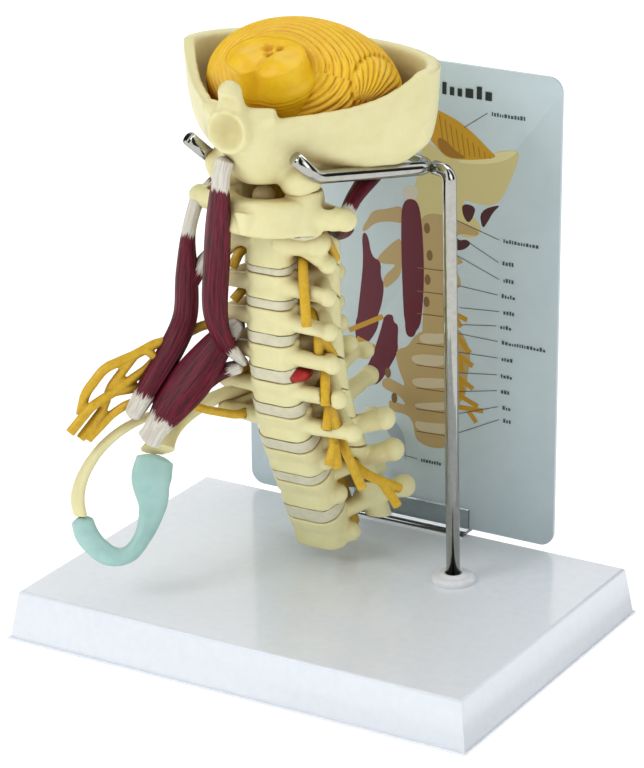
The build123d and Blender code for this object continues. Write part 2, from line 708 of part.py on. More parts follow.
def anatomy(fork):
    cord = spinal_cord()
    roots = {name: nerve(runs, nerve_radius) for name, runs in {**left_roots, **right_roots}.items()}
    roots["brachial_plexus"] = nerve(plexus, nerve_radius)
    roots = {name: carved(root, [cord]) for name, root in roots.items()}
    bones = column_bones(cord, list(roots.values()))
    hard = list(bones.values())
    skull = largest(skull_base() - [bones["vertebra_c1"], fork])
    brain, stem = [largest(piece) for piece in cerebellum()]
    nodes = {"skull_base": skull, "cerebellum": brain, "brain_stem": stem, **bones, **roots}
    nodes["spinal_cord"] = carved(cord, [stem, brain])
    burst = carved(disc_herniation(), hard + [cord] + list(roots.values()))
    nodes["disc_herniation"] = burst
    names = list(bones)
    cushions = []
    for i, level in enumerate(levels):
        others = [bones[names[i + 1]], bones[level[0]], cord, burst] + list(roots.values())
        cushion = carved(disc(i), others)
        cushions.append(cushion)
        nodes["disc_" + names[i + 1][-2:] + "_" + level[0][-2:]] = cushion
    for side, word in ((1, "left"), (-1, "right")):
        nodes["joint_pad_" + word] = carved(joint_pad(side), hard[:2] + [cord] + list(roots.values()))
    done = hard + cushions + [skull, fork] + list(roots.values())
    rib = carved(first_rib(), done)
    gristle = carved(costal_cartilage(), [rib])
    second = carved(second_rib(), [rib, gristle] + list(roots.values()))
    nodes.update({"rib_first": rib, "rib_second": second, "costal_cartilage": gristle})
    done += [rib, gristle, second]
    for name, heads in muscles.items():
        nodes[name] = carved(muscle(heads), done)
        done.append(nodes[name])
    return nodes


def build():
    os.makedirs("parts", exist_ok=True)
    fork = cradle_fork()
    nodes = {"base_tray": base_tray(), "post_washer": post_washer(), "post_nut": post_nut(),
             "post_collar": post_collar(), "cradle_fork": fork, "stand_post": stand_post() - fork,
             "key_card": key_card(), "card_holder": card_holder()}
    for name, shape in anatomy(Pos(-mid_x, 0, 0) * fork).items():
        nodes[name] = placed(shape)
    for name, shape in nodes.items():
        write(name, shape)


build()
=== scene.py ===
import json
from math import radians

import bmesh
import bpy
import numpy as np
from mathutils import Matrix, Vector


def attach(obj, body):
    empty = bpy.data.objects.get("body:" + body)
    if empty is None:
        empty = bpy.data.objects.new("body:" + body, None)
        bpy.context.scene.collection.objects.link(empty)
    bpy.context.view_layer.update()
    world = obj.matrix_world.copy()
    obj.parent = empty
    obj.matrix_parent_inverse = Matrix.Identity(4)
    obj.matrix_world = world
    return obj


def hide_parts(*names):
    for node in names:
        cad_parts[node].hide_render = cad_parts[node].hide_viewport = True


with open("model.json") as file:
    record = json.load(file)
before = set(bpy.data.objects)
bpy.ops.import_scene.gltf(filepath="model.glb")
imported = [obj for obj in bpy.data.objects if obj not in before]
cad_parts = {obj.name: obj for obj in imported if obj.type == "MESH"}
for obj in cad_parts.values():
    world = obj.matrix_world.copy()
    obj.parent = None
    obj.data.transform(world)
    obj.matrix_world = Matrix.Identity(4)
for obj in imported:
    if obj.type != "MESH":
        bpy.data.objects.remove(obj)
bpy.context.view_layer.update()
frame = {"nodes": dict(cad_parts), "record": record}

# Lengths here are in millimetres unless a name says otherwise; meshes are written in metres.
mm = 0.001
random = np.random.default_rng(7)

midX = -13.0  # plane of symmetry of the anatomy

# colours, noise scale and share of the stains, roughness and bump strength; the rest is optional; the darker
# colour listed last in some finishes is painted shade, laid where near surfaces shade the surface
finishes = {
    "base_plastic": dict(base="#ebf0f7", tint="#e0e8f1", grain=220, amount=0.5, rough=0.22, bump=0.04, coat=0.4),
    "collar_plastic": dict(base="#eceef1", tint="#dcdfe2", grain=300, amount=0.5, rough=0.28, bump=0.05, coat=0.3),
    "plated_steel": dict(base="#a9a9a4", tint="#8d8c86", grain=500, amount=0.8, rough=0.35, bump=0.15, metal=1.0),
    "chrome_rod": dict(base="#b4b4ae", tint="#9c9c95", grain=350, amount=0.5, rough=0.09, bump=0.03, metal=1.0),
    "card_sheet": dict(base="#c4d4da", tint="#b9cad1", grain=60, amount=0.5, rough=0.38, bump=0.03),
    "clear_acrylic": dict(base="#eef3f5", tint="#dfe7ea", grain=90, amount=0.3, rough=0.04, bump=0.02, glass=0.93),
    "brain_yellow": dict(base="#f9cd1e", tint="#efb40e", grain=160, amount=0.6, rough=0.42, bump=0.25, soft=0.08,
                         paintedShade="#b87703"),
    "cord_ochre": dict(base="#d2a827", tint="#b98a16", grain=300, amount=0.6, rough=0.5, bump=0.25),
    "nerve_yellow": dict(base="#e0b71f", tint="#c8990c", grain=420, amount=0.7, rough=0.4, bump=0.35, soft=0.06,
                         paintedShade="#8f6600"),
    "burst_red": dict(base="#b80a0b", tint="#93060a", grain=350, amount=0.8, rough=0.35, bump=0.35, soft=0.08,
                      paintedShade="#5f0c0c"),
    "disc_gel": dict(base="#dedac0", tint="#cdc8a8", grain=260, amount=0.8, rough=0.36, bump=0.2, soft=0.15,
                     paintedShade="#a09a74"),
    "cartilage_blue": dict(base="#add5ce", tint="#9cc6c2", grain=120, amount=0.7, rough=0.4, bump=0.15, soft=0.1,
                           paintedShade="#7ba19b"),
    "bone_cream": dict(base="#ebe5b0", tint="#e0d99e", grain=110, amount=0.6, rough=0.42, bump=0.3, soft=0.08,
                       paintedShade="#bb9f6c"),
}

# values of a finish that names none of its own; near, relief and softReach are in metres
plainFinish = dict(metal=0.0, coat=0.0, glass=0.0, soft=0.0, softReach=0.004, shine=0.5, near=0.011,
                   shaded=(0.25, 0.85), relief=0.0005)

# fibre and tendon tones of the muscle, and last of its colours a painted shade colour laid where near surfaces
# shade it
muscleFinish = dict(
    dark="#35050f", base="#660a25", light="#871534", tendon="#e6e2d8", tendonDark="#c9c4b6", paintedShade="#35050f",
    fibre=1.15, jag=4.5, rough=0.45, bump=0.35, shine=0.28, near=0.006, shaded=(0.2, 0.8), relief=0.0006)

stainMix = dict(patches=(0.35, 0.68), specks=(0.45, 0.75), speckShare=0.35, finer=7.0, broadShare=0.6,
                fineShare=0.4)
fibreMix = dict(tufts=0.42, shadows=(0.38, 0.55), lights=(0.56, 0.75), sinews=(0.4, 0.62), fray=2.6, edge=0.7,
                lift=0.25)


# linear value of each sRGB channel c: ((c + 0.055) / 1.055) ^ 2.4, or c / 12.92 where it is dark
def tone(code):
    channels = [int(code[i:i + 2], 16) / 255 for i in (1, 3, 5)]
    return tuple(c / 12.92 if c <= 0.04045 else ((c + 0.055) / 1.055) ** 2.4 for c in channels) + (1.0,)


# a value for an input: another node's socket is linked to it, anything else is written on it
def feed(tree, value, socket):
    if isinstance(value, bpy.types.NodeSocket):
        tree.links.new(value, socket)
    else:
        socket.default_value = value


# a node of that kind with its input sockets and settings filled in
def put(tree, kind, values=None, **settings):
    node = tree.nodes.new(kind)
    for key, value in settings.items():
        setattr(node, key, value)
    for key, value in (values or {}).items():
        feed(tree, value, node.inputs[key])
    return node


# colour = a + (b - a) * factor; a colour mix node has its factor and colours at places 0, 6 and 7
def mixed(tree, factor, a, b):
    return put(tree, "ShaderNodeMix", {0: factor, 6: a, 7: b}, data_type="RGBA", clamp_factor=True).outputs[2]


# straight rescale from one span to 0..1 or another span, clamped
def spread(tree, value, low, high, toLow=0.0, toHigh=1.0):
    return put(tree, "ShaderNodeMapRange", {"Value": value, "From Min": low, "From Max": high, "To Min": toLow,
                                            "To Max": toHigh}).outputs[0]


# result of one operation on two values
def maths(tree, operation, a, b=0.0):
    return put(tree, "ShaderNodeMath", {0: a, 1: b}, operation=operation).outputs[0]


# noise value at a place
def noise(tree, place, scale, **detail):
    return put(tree, "ShaderNodeTexNoise", dict({"Vector": place, "Scale": scale}, **detail)).outputs["Fac"]


# empty group with those inputs and the outputs Color and Height, and the two sets of sockets inside it
def newGroup(name, colours, numbers):
    group = bpy.data.node_groups.new(name, "ShaderNodeTree")
    for names, kind in ((colours, "NodeSocketColor"), (numbers, "NodeSocketFloat")):
        for socket in names:
            group.interface.new_socket(name=socket, in_out="INPUT", socket_type=kind)
    group.interface.new_socket(name="Color", in_out="OUTPUT", socket_type="NodeSocketColor")
    group.interface.new_socket(name="Height", in_out="OUTPUT", socket_type="NodeSocketFloat")
    return group, group.nodes.new("NodeGroupInput").outputs, group.nodes.new("NodeGroupOutput").inputs


# group: tint over base by the larger of broad patches and fine specks; height = both noises by their shares
def stainGroup(mix):
    group, start, end = newGroup("stains", ("base", "tint"), ("grain", "amount"))
    place = put(group, "ShaderNodeTexCoord").outputs["Object"]
    broad = noise(group, place, start["grain"], Detail=4.0, Roughness=0.6)
    fine = noise(group, place, maths(group, "MULTIPLY", start["grain"], mix["finer"]), Detail=3.0)
    patches = spread(group, broad, *mix["patches"])
    specks = spread(group, fine, *mix["specks"], 0.0, mix["speckShare"])
    share = maths(group, "MULTIPLY", maths(group, "MAXIMUM", patches, specks), start["amount"])
    feed(group, mixed(group, share, start["base"], start["tint"]), end["Color"])
    height = maths(group, "ADD", maths(group, "MULTIPLY", broad, mix["broadShare"]),
                   maths(group, "MULTIPLY", fine, mix["fineShare"]))
    feed(group, height, end["Height"])
    return group


# group: fibres along a strand; tendon turns to belly where the belly distance + teeth + fray passes zero
def fibreGroup(mix):
    group, start, end = newGroup("fibres", ("dark", "base", "light", "tendon", "tendonDark"), ("fibre", "jag"))
    grain = put(group, "ShaderNodeAttribute", attribute_name="grain").outputs["Vector"]
    belly = put(group, "ShaderNodeAttribute", attribute_name="belly").outputs["Fac"]
    fibre = noise(group, grain, start["fibre"], Detail=5.0, Roughness=0.62)
    tufts = noise(group, grain, mix["tufts"], Detail=1.0)
    flesh = mixed(group, spread(group, fibre, *mix["shadows"]), start["dark"], start["base"])
    flesh = mixed(group, spread(group, fibre, *mix["lights"]), flesh, start["light"])
    sinew = mixed(group, spread(group, fibre, *mix["sinews"]), start["tendonDark"], start["tendon"])
    teeth = maths(group, "MULTIPLY", maths(group, "SUBTRACT", tufts, 0.5), start["jag"])
    fray = maths(group, "MULTIPLY", maths(group, "SUBTRACT", fibre, 0.5),
                 maths(group, "MULTIPLY", start["jag"], mix["fray"]))
    edge = maths(group, "ADD", maths(group, "ADD", belly, teeth), fray)
    share = spread(group, edge, -mix["edge"], mix["edge"])
    feed(group, mixed(group, share, sinew, flesh), end["Color"])
    feed(group, maths(group, "ADD", fibre, maths(group, "MULTIPLY", share, mix["lift"])), end["Height"])
    return group


stains = stainGroup(stainMix)
fibres = fibreGroup(fibreMix)


# principled surface over a group whose inputs are named like the finish's values: the painted shade colour takes
# over where near surfaces shade it, and the group's height gives the bump
def surface(name, finish, pattern=stains):
    finish = dict(plainFinish, **finish)
    material = bpy.data.materials.new(name)
    material.use_nodes = True
    tree = material.node_tree
    shader = tree.nodes["Principled BSDF"]
    group = put(tree, "ShaderNodeGroup", node_tree=pattern)
    for socket in group.inputs:
        value = finish[socket.name]
        socket.default_value = tone(value) if isinstance(value, str) else value
    colour = group.outputs["Color"]
    # painted shade: ambient occlusion blends the colour towards the finish's shade colour in recesses and between
    # parts
    if "paintedShade" in finish:
        shade = put(tree, "ShaderNodeAmbientOcclusion", {"Distance": finish["near"]}, samples=6).outputs["AO"]
        colour = mixed(tree, spread(tree, shade, *finish["shaded"]), tone(finish["paintedShade"]), colour)
    bump = put(tree, "ShaderNodeBump", {"Height": group.outputs["Height"], "Strength": finish["bump"],
                                        "Distance": finish["relief"]})
    feed(tree, colour, shader.inputs["Base Color"])
    feed(tree, bump.outputs["Normal"], shader.inputs["Normal"])
    for socket, key in (("Roughness", "rough"), ("Metallic", "metal"), ("Coat Weight", "coat"),
                        ("Transmission Weight", "glass"), ("Subsurface Weight", "soft"),
                        ("Subsurface Scale", "softReach"), ("Specular IOR Level", "shine")):
        shader.inputs[socket].default_value = finish[key]
    return material


materials = {name: surface(name, finish) for name, finish in finishes.items()}
materials["muscle_red"] = surface("muscle_red", muscleFinish, fibres)
slotOf = {entry["node"]: entry["material_slot"] for entry in frame["record"]["subparts"]}
print("materials ready")


# mesh object from points in mm, at the origin of the frame
def meshObject(name, points, faces, smooth=True):
    mesh = bpy.data.meshes.new(name)
    mesh.from_pydata((np.asarray(points, float) * mm).tolist(), [], faces)
    mesh.update()
    if smooth:
        mesh.shade_smooth()
    obj = bpy.data.objects.new(name, mesh)
    bpy.context.scene.collection.objects.link(obj)
    return obj


# the piece rides the root, stands for its CAD nodes and takes the finish of the first of them
def declare(obj, nodes):
    slot = slotOf[nodes[0]]
    obj.data.materials.clear()
    obj.data.materials.append(materials[slot])
    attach(obj, "root")
    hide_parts(*nodes)


# faces of a grid of rings closed round, then a fan of triangles to one centre point beyond each end
def ringFaces(rows, columns):
    row, column = np.meshgrid(np.arange(rows - 1), np.arange(columns), indexing="ij")
    after = (column + 1) % columns
    quads = np.stack([row * columns + column, row * columns + after,
                      (row + 1) * columns + after, (row + 1) * columns + column], -1)
    column = np.arange(columns)
    after = (column + 1) % columns
    first, last, tail = rows * columns, rows * columns + 1, (rows - 1) * columns
    startFan = np.stack([np.full(columns, first), after, column], -1)
    endFan = np.stack([np.full(columns, last), tail + column, tail + after], -1)
    return quads.reshape(-1, 4).tolist() + startFan.tolist() + endFan.tolist()


# turns every face outwards, after points nearer than weld are merged where it is given
def faceOut(mesh, weld=None):
    work = bmesh.new()
    work.from_mesh(mesh)
    if weld:
        bmesh.ops.remove_doubles(work, verts=work.verts[:], dist=weld)
    bmesh.ops.recalc_face_normals(work, faces=work.faces[:])
    work.to_mesh(mesh)
    work.free()


# closed piece from rings of points and its two end points, declared for its node
def ringPiece(name, node, points, ends, grid):
    obj = meshObject(name, np.vstack([points.reshape(-1, 3), ends]), ringFaces(*grid))
    faceOut(obj.data)
    declare(obj, [node])


# angles of the points of a ring
def roundAngles(columns):
    return np.linspace(0, 2 * np.pi, columns, endpoint=False)


# values on a smooth curve through the points, by cubic runs whose slopes are half the step across each point
def through(values, places):
    values = np.asarray(values, float)
    if values.ndim == 1:
        values = values[:, None]
    ahead = np.vstack([values[1:], values[-1:] * 2 - values[-2:-1]])
    behind = np.vstack([values[:1] * 2 - values[1:2], values[:-1]])
    slopes = (ahead - behind) / 2
    i = np.clip(places.astype(int), 0, len(values) - 2)
    t = (places - i)[:, None]
    p0, p1, m0, m1 = values[i], values[i + 1], slopes[i], slopes[i + 1]
    return ((2 * t ** 3 - 3 * t ** 2 + 1) * p0 + (t ** 3 - 2 * t ** 2 + t) * m0 + (3 * t ** 2 - 2 * t ** 3) * p1
            + (t ** 3 - t ** 2) * m1)


# a strand along a smooth line: its points, half sizes, run so far, and two cross directions, of which the first
# is the given side less its part along the line
def strandOf(shape, toSide, rows):
    places = np.linspace(0, len(shape["points"]) - 1, rows)
    line = through(shape["points"], places)
    line[:, 0] += midX
    wide = through(shape["widths"], places)[:, 0] / 2
    deep = through(shape["depths"], places)[:, 0] / 2
    along = np.concatenate([[0], np.cumsum(np.linalg.norm(np.diff(line, axis=0), axis=1))])
    ahead = np.gradient(line, axis=0)
    ahead /= np.linalg.norm(ahead, axis=1)[:, None]
    side = toSide - ahead * (ahead @ toSide)[:, None]
    side /= np.linalg.norm(side, axis=1)[:, None]
    return dict(line=line, wide=wide, deep=deep, along=along, side=side, other=np.cross(ahead, side))


# size near a strand's ends: root of the distance from the nearer end / blend, between least and 1
def endRound(along, blend, least):
    return np.sqrt(np.clip(np.minimum(along, along[-1] - along) / blend, least, 1))[:, None]


# ellipses round a strand: line + side * half width * cos * size + other * half depth * sin * size
def ellipses(strand, a, size):
    return strand["line"][:, None] + (
        strand["side"][:, None] * (np.cos(a) * strand["wide"][:, None] * size)[..., None]
        + strand["other"][:, None] * (np.sin(a) * strand["deep"][:, None] * size)[..., None])


# polar angles in degrees count from a pole that leans forwards; folds are counted between the first and the last
brainShape = dict(
    centre=(midX, 7.0, 254.0), half=(47.5, 30.0, 30.5), rows=380, columns=240, seatZ=228.2, skin=0.25,
    poleLean=57.0, poleShare=0.94, firstFold=27.0, lastFold=152.0, folds=25, depth=1.7, sharpness=0.5,
    zoneEdge=0.2, zoneSteep=2, wander=3.2, waves=6,
    forks=5, forkFrom=0.8, forkSteep=6, forkShare=0.6, forkShift=0.25, forkSway=3, forkPitch=0.11,
    lobeFrom=6.5, lobeFolds=8.0, lobeSharpness=0.12, lobeShare=0.25)
fanLobe = dict(
    pole=(24.4, -11.4, 255.0), middle=(32.5, 1.3, 260.6), reach=16.0, blend=2.0, folds=26, sweep=0.9, bend=0.05,
    floor=0.35, seamHalf=1.1, seamDepth=0.6)


# height of a fold across one step: |sin(pi * phase)| ^ sharpness, 1 on the crest and 0 in the furrow
def foldHeight(phase, sharpness):
    return np.abs(np.sin(np.pi * phase)) ** sharpness


# folds at even steps of the polar angle, bent by a sum of slow waves; here and there a fold forks into two, and
# a wide furrow parts the lobes; also the share, 0..1, of the folded zone
def brainFolds(shape, polar, around):
    t = np.radians(polar)
    wander = np.zeros(np.broadcast_shapes(t.shape, around.shape))
    for k in range(1, shape["waves"] + 1):
        a, b, c = random.uniform(-1, 1, 3)
        wander += (a * np.sin(k * around + 4 * b) + c * np.sin(k * around * 0.5 + t * k)) / (k + 1)
    step = (shape["lastFold"] - shape["firstFold"]) / shape["folds"]
    phase = (polar - shape["firstFold"] + shape["wander"] * wander) / step
    zone = (np.clip((phase + shape["zoneEdge"]) * shape["zoneSteep"], 0, 1)
            * np.clip((shape["folds"] + shape["zoneEdge"] - phase) * shape["zoneSteep"], 0, 1))
    height = foldHeight(phase, shape["sharpness"])
    finer = foldHeight(phase * 2 + shape["forkShift"], shape["sharpness"])
    sway = shape["forkSway"] * np.sin(polar * shape["forkPitch"]) + wander * shape["forkSway"]
    forks = 0.5 + 0.5 * np.sin(around * shape["forks"] + sway)
    forked = np.clip((forks - shape["forkFrom"]) * shape["forkSteep"], 0, 1) * shape["forkShare"]
    height = height * (1 - forked) + np.minimum(height, finer) * forked
    lobes = foldHeight((phase - shape["lobeFrom"]) / shape["lobeFolds"], shape["lobeSharpness"])
    return height * (1 - shape["lobeShare"]) + lobes * shape["lobeShare"], zone


# fine folds by the angle round the fan's pole, inside a ball round its middle with a seam at its edge
def fanFolds(fan, place, sharpness):
    across = place - np.array(fan["pole"])
    reach = np.linalg.norm(place - np.array(fan["middle"]), axis=-1)
    zone = np.clip((fan["reach"] - reach) / fan["blend"], 0, 1)
    swing = np.arctan2(across[..., 2], across[..., 1]) * fan["sweep"]
    fine = foldHeight(swing / np.pi * fan["folds"] + reach * fan["bend"], sharpness)
    seam = np.exp(-((reach - fan["reach"]) / fan["seamHalf"]) ** 2)
    return fan["floor"] + (1 - fan["floor"]) * fine, fan["seamDepth"] * seam, zone


# stretched ball with a leaning pole: centre + half * direction * (1 - (skin + depth * (1 - fold)) / least half)
def buildBrain(shape, fan):
    rows, columns = shape["rows"], shape["columns"]
    polar = np.linspace(0, 180, rows + 2)[1:-1][:, None]
    around = roundAngles(columns)[None, :]
    t, lean = np.radians(polar), radians(shape["poleLean"])
    x = np.sin(t) * np.cos(around)
    y = np.sin(t) * np.sin(around) * np.cos(lean) - np.cos(t) * np.sin(lean)
    z = np.sin(t) * np.sin(around) * np.sin(lean) + np.cos(t) * np.cos(lean)
    ball = np.stack([x, y, z], -1)
    half, centre = np.array(shape["half"]), np.array(shape["centre"])
    height, folded = brainFolds(shape, polar, around)
    fine, seam, fanned = fanFolds(fan, centre + ball * half, shape["sharpness"])
    height = height * (1 - fanned) + fine * fanned - seam
    drop = shape["skin"] + shape["depth"] * (1 - height) * np.maximum(folded, fanned)
    points = centre + ball * half * (1 - drop[..., None] / half.min())
    points[..., 2] = np.maximum(points[..., 2], shape["seatZ"])
    toPole = half * np.array([0, -np.sin(lean), np.cos(lean)]) * shape["poleShare"]
    ringPiece("brain_folds", "cerebellum", points, [centre + toPole, centre - toPole], (rows, columns))


# each section: way down the stem, shift along Y, half width, half depth, tilt; a notch: its depth and half width
stemShape = dict(
    top=(-25.0, 275.0), lean=28.0, rows=90, columns=160, ringsOnFace=24, skin=0.35,
    sections=[(0.0, 0.0, 19.0, 13.5, 28.0), (8.0, 0.6, 19.2, 14.3, 27.0), (15.0, 1.0, 20.0, 15.5, 26.0),
              (34.0, -4.0, 13.0, 10.0, 14.0), (48.0, -8.0, 8.0, 7.0, 8.0)],
    frontNotch=(0.24, 0.22), backNotch=(0.08, 0.35), notchRun=16.0, notchRest=0.35,
    lineSize=0.985, lineDepth=0.012, linePitch=2.4, lineStart=12.0, lineBlend=4.0,
    petalRise=3.0, petalAt=(8.5, -4.0), petalReach=(6.0, 7.0),
    hollow=3.0, hollows=((-2.5, 6.5, 2.0), (3.0, 7.0, 1.7), (0.0, 3.0, 1.6)),
    slitDepth=0.7, slitHalf=1.1, slitEnd=2.0, faceSink=0.9, middleSink=1.6)


# bell of an angle: exp(-(turn from its centre, the short way round / half width) ^ 2)
def bell(angle, centre, halfWide):
    return np.exp(-((np.mod(angle - centre + np.pi, 2 * np.pi) - np.pi) / halfWide) ** 2)


# rise of the cut face: two petals of bell form, less bells at the hollows, a slit on its middle line and the sink
def faceRise(shape, u, v, inner):
    (petalU, petalV), (reachU, reachV) = shape["petalAt"], shape["petalReach"]
    petals = np.exp(-((np.abs(u) - petalU) / reachU) ** 2 - ((v - petalV) / reachV) ** 2)
    rise = shape["petalRise"] * petals * (1 - inner ** 6)
    for hollowU, hollowV, reach in shape["hollows"]:
        rise = rise - shape["hollow"] * np.exp(-((u - hollowU) ** 2 + (v - hollowV) ** 2) / reach ** 2)
    slit = shape["slitDepth"] * np.exp(-(u / shape["slitHalf"]) ** 2) * (v < shape["slitEnd"])
    return rise - slit - shape["faceSink"]


# tilted ellipses down a leaning line, with a notch in front and behind that fade with the way down; above them
# rings shrink towards the middle of the cut face, lifted by its rise
def buildStem(shape):
    rows = shape["rows"]
    places = np.linspace(0, len(shape["sections"]) - 1, rows)
    drop, shift, halfWide, halfDeep, tilt = through(shape["sections"], places).T
    lean, tilt = radians(shape["lean"]), np.radians(tilt)[:, None]
    y = shape["top"][0] + drop * np.sin(lean) + shift
    z = shape["top"][1] - drop * np.cos(lean)
    a = roundAngles(shape["columns"])
    fade = np.clip(1 - drop / shape["notchRun"], 0, 1)[:, None]
    (frontDepth, frontHalf), (backDepth, backHalf) = shape["frontNotch"], shape["backNotch"]
    size = (1 - frontDepth * bell(a, 1.5 * np.pi, frontHalf) * (shape["notchRest"] + fade)
            - backDepth * bell(a, 0.5 * np.pi, backHalf) * fade)
    lines = (np.sin(drop[:, None] * shape["linePitch"] + 2 * np.cos(a) ** 2)
             * np.clip((drop[:, None] - shape["lineStart"]) / shape["lineBlend"], 0, 1))
    size = size * (shape["lineSize"] + shape["lineDepth"] * lines)
    across, back = np.cos(a) * halfWide[:, None] * size, np.sin(a) * halfDeep[:, None] * size
    rings = np.stack([midX + across, y[:, None] + back * np.cos(tilt), z[:, None] + back * np.sin(tilt)], -1)
    inner = np.linspace(0, 1, shape["ringsOnFace"] + 1)[1:-1][:, None]
    u, v = across[0] * inner, back[0] * inner
    cosTilt, sinTilt = np.cos(tilt[0, 0]), np.sin(tilt[0, 0])
    up = np.array([0, -sinTilt, cosTilt])
    face = np.stack([midX + u, y[0] + v * cosTilt, z[0] + v * sinTilt], -1)
    face = face + faceRise(shape, u, v, inner)[..., None] * up
    points = np.concatenate([face, rings - shape["skin"] * up])
    ends = [np.array([midX, y[0], z[0]]) - shape["middleSink"] * up, [midX, y[-1], z[-1]]]
    ringPiece("brain_stem_form", "brain_stem", points, ends, (len(inner) + rows, shape["columns"]))


# points lie on the line's middle, with X counted from the plane of symmetry; side is where its width looks
cartilageShape = dict(
    rows=140, columns=64, side=(0.53, -0.85, 0.0), endBlend=2.5, endLeast=0.03, rippleDepth=0.012, ripplePitch=0.5,
    points=[(-49, -43, 88), (-48, -49, 78), (-47, -50, 66), (-48, -56, 54), (-52, -63, 46), (-60, -68, 46),
            (-68, -71, 54), (-71, -72, 64)],
    widths=[6, 6.5, 6, 7, 7, 6, 6, 6], depths=[17, 18, 13, 8.5, 8, 10, 11, 10])


# ellipses along the line with rounded ends, smaller by a ripple that runs along and round them
def buildCartilage(shape):
    toSide = np.array(shape["side"]) / np.linalg.norm(shape["side"])
    strand = strandOf(shape, toSide, shape["rows"])
    along = strand["along"]
    a = roundAngles(shape["columns"])[None, :]
    ripple = 1 + np.sin(along[:, None] * shape["ripplePitch"] + 2 * np.cos(a))
    size = endRound(along, shape["endBlend"], shape["endLeast"]) * (1 - shape["rippleDepth"] * ripple)
    ringPiece("costal_cartilage_form", "costal_cartilage", ellipses(strand, a, size), strand["line"][[0, -1]],
              (shape["rows"], shape["columns"]))


# joins: the run along a head at which tendon turns to flesh and back; each head lists its line, widths and depths
muscleShapes = {
    "muscle_strap": dict(joins=(15.0, 101.0), heads=[
        dict(points=[(-5, -50, 236), (-7, -51, 226), (-13, -44, 205), (-18, -38, 185), (-20, -37, 160),
                     (-18, -33, 145), (-13, -23, 131)],
             widths=[9, 8.5, 12, 13, 12.5, 9, 4], depths=[7, 6.5, 8, 9, 9, 7, 4])]),
    "muscle_scalene_middle": dict(joins=(18.0, 98.0), heads=[
        dict(points=[(-37, -23, 206), (-39, -28, 190), (-41, -27, 170), (-43, -26, 150), (-46, -33, 136),
                     (-50, -45, 122), (-55, -54, 108)],
             widths=[7, 7, 11, 12, 13, 12, 9], depths=[6, 6, 9, 10, 9, 8, 5]),
        dict(points=[(-26, -18, 184), (-33, -23, 178), (-40, -27, 165)], widths=[5, 7, 8], depths=[5, 6, 7])]),
    "muscle_scalene_front": dict(joins=(7.0, 58.0), heads=[
        dict(points=[(-15, -22, 152), (-24, -28, 141), (-32, -38, 126), (-38, -46, 115), (-43, -53, 104),
                     (-46, -55, 98)],
             widths=[6, 15, 22, 19, 12, 13], depths=[6, 10, 11, 10, 7, 6]),
        dict(points=[(-14, -24, 131), (-23, -31, 128), (-31, -38, 122)], widths=[7, 9, 12], depths=[6, 7, 8])]),
    "muscle_upper_left": dict(joins=(5.0, 40.0), heads=[
        dict(points=[(36, -19, 207), (34, -8, 212), (34, 8, 219), (36, 20, 227)],
             widths=[7, 8, 11, 12], depths=[6, 6, 7, 6])]),
    "muscle_upper_right": dict(joins=(5.0, 40.0), heads=[
        dict(points=[(-36, -19, 207), (-34, -8, 212), (-34, 8, 219), (-36, 20, 227)],
             widths=[7, 8, 11, 12], depths=[6, 6, 7, 6])]),
    "muscle_lower_left": dict(joins=(6.0, 34.0), heads=[
        dict(points=[(35, -17, 204), (26, -4, 196), (14, 10, 188), (6, 17, 183)],
             widths=[6, 10, 10, 6], depths=[5, 7, 7, 5])]),
    "muscle_lower_right": dict(joins=(6.0, 34.0), heads=[
        dict(points=[(-35, -17, 204), (-26, -4, 196), (-14, 10, 188), (-6, 17, 183)],
             widths=[6, 10, 10, 6], depths=[5, 7, 7, 5])]),
}
headGrid = dict(rows=150, columns=88, endBlend=2.0, endLeast=0.02, size=0.955, grooves=(7, 11, 17, 23),
                grooveDepth=0.035, sway=0.5, swayPitch=0.05, grainPitch=0.045)


# one head of a muscle: ellipses with grooves, a mean of cosines of the angle that bend slowly along the run; belly
# is the distance past the joins and grain a place on the unbent strand
def buildHead(head, joins, grid):
    rows, columns = grid["rows"], grid["columns"]
    strand = strandOf(head, np.array([1.0, 0, 0]), rows)
    along = strand["along"]
    a = roundAngles(columns)[None, :]
    groove = np.zeros((rows, columns))
    for count in grid["grooves"]:
        start, bend = random.uniform(0, 6, 2)
        sway = grid["sway"] * np.sin(along[:, None] * grid["swayPitch"] + bend)
        groove += np.cos(count * a + start + sway) / len(grid["grooves"])
    size = endRound(along, grid["endBlend"], grid["endLeast"]) * (grid["size"] + grid["grooveDepth"] * groove)
    belly = np.repeat(-np.maximum(joins[0] - along, along - joins[1])[:, None], columns, 1)
    grain = np.stack([np.cos(a) * strand["wide"][:, None], np.sin(a) * strand["deep"][:, None],
                      np.repeat(along[:, None] * grid["grainPitch"], columns, 1)], -1)
    return ellipses(strand, a, size).reshape(-1, 3), strand["line"][[0, -1]], belly.ravel(), grain.reshape(-1, 3)


# all heads of a muscle in one mesh, with the belly distance and the grain place stored on its points
def buildMuscle(node, shape, grid):
    points, faces, belly, grain = [], [], [], []
    for head in shape["heads"]:
        start = sum(len(block) for block in points)
        body, ends, past, place = buildHead(head, shape["joins"], grid)
        points += [body, ends]
        belly += [past, [past[0], past[-1]]]
        grain += [place, place[[0, -1]]]
        faces += [[index + start for index in face] for face in ringFaces(grid["rows"], grid["columns"])]
    obj = meshObject(node + "_form", np.vstack(points), faces)
    bellyLayer = obj.data.attributes.new("belly", "FLOAT", "POINT")
    bellyLayer.data.foreach_set("value", np.concatenate(belly).astype(np.float32))
    grainLayer = obj.data.attributes.new("grain", "FLOAT_VECTOR", "POINT")
    grainLayer.data.foreach_set("vector", np.vstack(grain).astype(np.float32).ravel())
    faceOut(obj.data)
    declare(obj, [node])


buildBrain(brainShape, fanLobe)
buildStem(stemShape)
buildCartilage(cartilageShape)
print("brain and cartilage built")
for node, shape in muscleShapes.items():
    buildMuscle(node, shape, headGrid)
print("muscles built")


